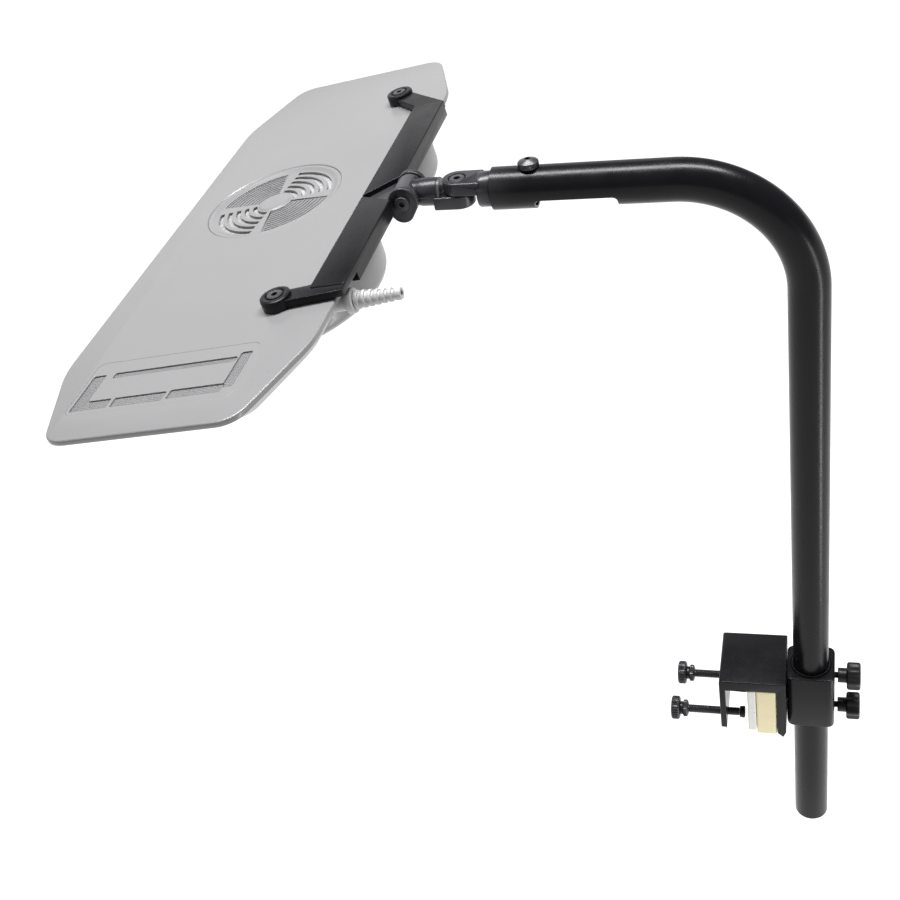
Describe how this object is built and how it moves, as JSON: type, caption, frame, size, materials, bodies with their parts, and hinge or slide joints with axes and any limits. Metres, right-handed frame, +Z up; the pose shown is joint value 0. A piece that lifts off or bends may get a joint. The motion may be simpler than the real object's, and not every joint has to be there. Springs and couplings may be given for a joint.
{
  "type": "clamp-on light arm",
  "caption": "Black bent-tube mounting arm with a rim clamp, a two-axis knuckle and a bracket that carries a slim pale grey lighting panel.",
  "frame": {"origin": "underside of the clamp's top plate, in the middle of the jaw gap, where the plate rests on the rim", "axes": "+Z up along the mast, -X from the mast towards the panel, +Y along the clamp's depth and the panel's length, to the rear"},
  "size_m": [0.4404, 0.44, 0.5944],
  "materials": {
    "black_powder": "satin black powder coat",
    "black_steel": "satin black coated steel",
    "black_plastic": "moulded black plastic",
    "cream_rubber": "matt cream rubber",
    "clear_rubber": "cloudy clear rubber",
    "nylon": "natural nylon",
    "pale_shell": "pale grey satin shell",
    "grey_plastic": "grey moulded plastic",
    "aluminium": "extruded aluminium",
    "circuit_board": "green solder mask",
    "lens": "clear moulded lens"
  },
  "bodies": {
    "clamp": {"clamp_frame": "black_powder", "mast_sleeve": "black_powder", "sleeve_bolt_front": "black_steel", "sleeve_bolt_rear": "black_steel", "rim_block": "cream_rubber", "rim_face_pad": "clear_rubber"},
    "rim_tip_front": {"rim_screw_tip_front": "black_plastic"},
    "rim_tip_rear": {"rim_screw_tip_rear": "black_plastic"},
    "rim_screw_front": {"rim_screw_front": "black_steel"},
    "rim_screw_rear": {"rim_screw_rear": "black_steel"},
    "lock_tip_upper": {"mast_lock_tip_upper": "nylon"},
    "lock_tip_lower": {"mast_lock_tip_lower": "nylon"},
    "lock_screw_upper": {"mast_lock_screw_upper": "black_plastic"},
    "lock_screw_lower": {"mast_lock_screw_lower": "black_plastic"},
    "liner": {"mast_liner": "black_plastic"},
    "mast": {"mast_tube": "black_powder", "mast_end_plug": "black_plastic", "shank_lock_screw": "black_steel"},
    "shank": {"knuckle_shank": "black_steel", "yaw_screw": "black_steel", "yaw_nut": "black_steel"},
    "link": {"knuckle_link": "black_steel"},
    "head": {"tilt_clevis": "black_steel", "tilt_screw": "black_steel", "tilt_nut": "black_steel", "bracket_arm_far": "black_powder", "bracket_arm_near": "black_powder", "foot_screw_far": "black_steel", "foot_screw_near": "black_steel", "plate_screw_1": "black_steel", "plate_screw_2": "black_steel", "plate_screw_3": "black_steel", "plate_screw_4": "black_steel", "light_top_shell": "pale_shell", "light_bottom_shell": "pale_shell", "lamp_housing": "pale_shell", "fan_grille": "pale_shell", "fan_frame": "black_plastic", "vent_insert": "grey_plastic", "heat_sink_near": "aluminium", "heat_sink_far": "aluminium", "led_board_near": "circuit_board", "led_board_far": "circuit_board", "lens_bezel_near": "grey_plastic", "lens_bezel_far": "grey_plastic", "lamp_lens_near": "lens", "lamp_lens_far": "lens", "control_board": "circuit_board", "cable_gland": "grey_plastic", "strain_relief": "grey_plastic", "case_screw_1": "black_steel", "case_screw_2": "black_steel", "case_screw_3": "black_steel", "case_screw_4": "black_steel"},
    "fan": {"fan_rotor": "black_plastic"}
  },
  "joints": [
    {"name": "mast_turn", "type": "hinge", "parent": "clamp", "child": "liner", "pos_m": [0.0534, 0, -0.018], "axis": [0, 0, 1], "continuous": true},
    {"name": "mast_height", "type": "slide", "parent": "liner", "child": "mast", "axis": [0, 0, 1], "range_m": [-0.18, 0.115]},
    {"name": "shank_roll", "type": "hinge", "parent": "mast", "child": "shank", "pos_m": [-0.1076, 0, 0.41], "axis": [1, 0, 0], "range_deg": [-90, 90]},
    {"name": "head_yaw", "type": "hinge", "parent": "shank", "child": "link", "pos_m": [-0.1492, 0, 0.41], "axis": [0, 0, 1], "range_deg": [-55, 55]},
    {"name": "head_tilt", "type": "hinge", "parent": "link", "child": "head", "pos_m": [-0.1814, 0, 0.41], "axis": [0, 1, 0], "range_deg": [-50, 50]},
    {"name": "fan_spin", "type": "hinge", "parent": "head", "child": "fan", "pos_m": [-0.28271, 0.028, 0.38541], "axis": [-0.1349, 0, 0.9909], "continuous": true},
    {"name": "rim_advance_front", "type": "slide", "parent": "clamp", "child": "rim_tip_front", "axis": [1, 0, 0], "range_m": [-0.0087, 0.0021]},
    {"name": "rim_turn_front", "type": "hinge", "parent": "rim_tip_front", "child": "rim_screw_front", "pos_m": [-0.02, -0.018, -0.031], "axis": [1, 0, 0], "range_deg": [-2467, 596]},
    {"name": "rim_advance_rear", "type": "slide", "parent": "clamp", "child": "rim_tip_rear", "axis": [1, 0, 0], "range_m": [-0.0105, 0.0003]},
    {"name": "rim_turn_rear", "type": "hinge", "parent": "rim_tip_rear", "child": "rim_screw_rear", "pos_m": [-0.02, 0.018, -0.031], "axis": [1, 0, 0], "range_deg": [-2977, 86]},
    {"name": "lock_advance_upper", "type": "slide", "parent": "clamp", "child": "lock_tip_upper", "axis": [1, 0, 0], "range_m": [0, 0.003]},
    {"name": "lock_turn_upper", "type": "hinge", "parent": "lock_tip_upper", "child": "lock_screw_upper", "pos_m": [0.0784, 0, -0.003], "axis": [1, 0, 0], "range_deg": [0, 1350]},
    {"name": "lock_advance_lower", "type": "slide", "parent": "clamp", "child": "lock_tip_lower", "axis": [1, 0, 0], "range_m": [0, 0.003]},
    {"name": "lock_turn_lower", "type": "hinge", "parent": "lock_tip_lower", "child": "lock_screw_lower", "pos_m": [0.0784, 0, -0.036], "axis": [1, 0, 0], "range_deg": [0, 1350]}
  ],
  "couplings": [
    {"joint": "rim_turn_front", "follows": "rim_advance_front", "rad_per_m": 4947.4},
    {"joint": "rim_turn_rear", "follows": "rim_advance_rear", "rad_per_m": 4947.4},
    {"joint": "lock_advance_upper", "follows": "lock_turn_upper", "m_per_rad": 0.00012732},
    {"joint": "lock_advance_lower", "follows": "lock_turn_lower", "m_per_rad": 0.00012732}
  ]
}
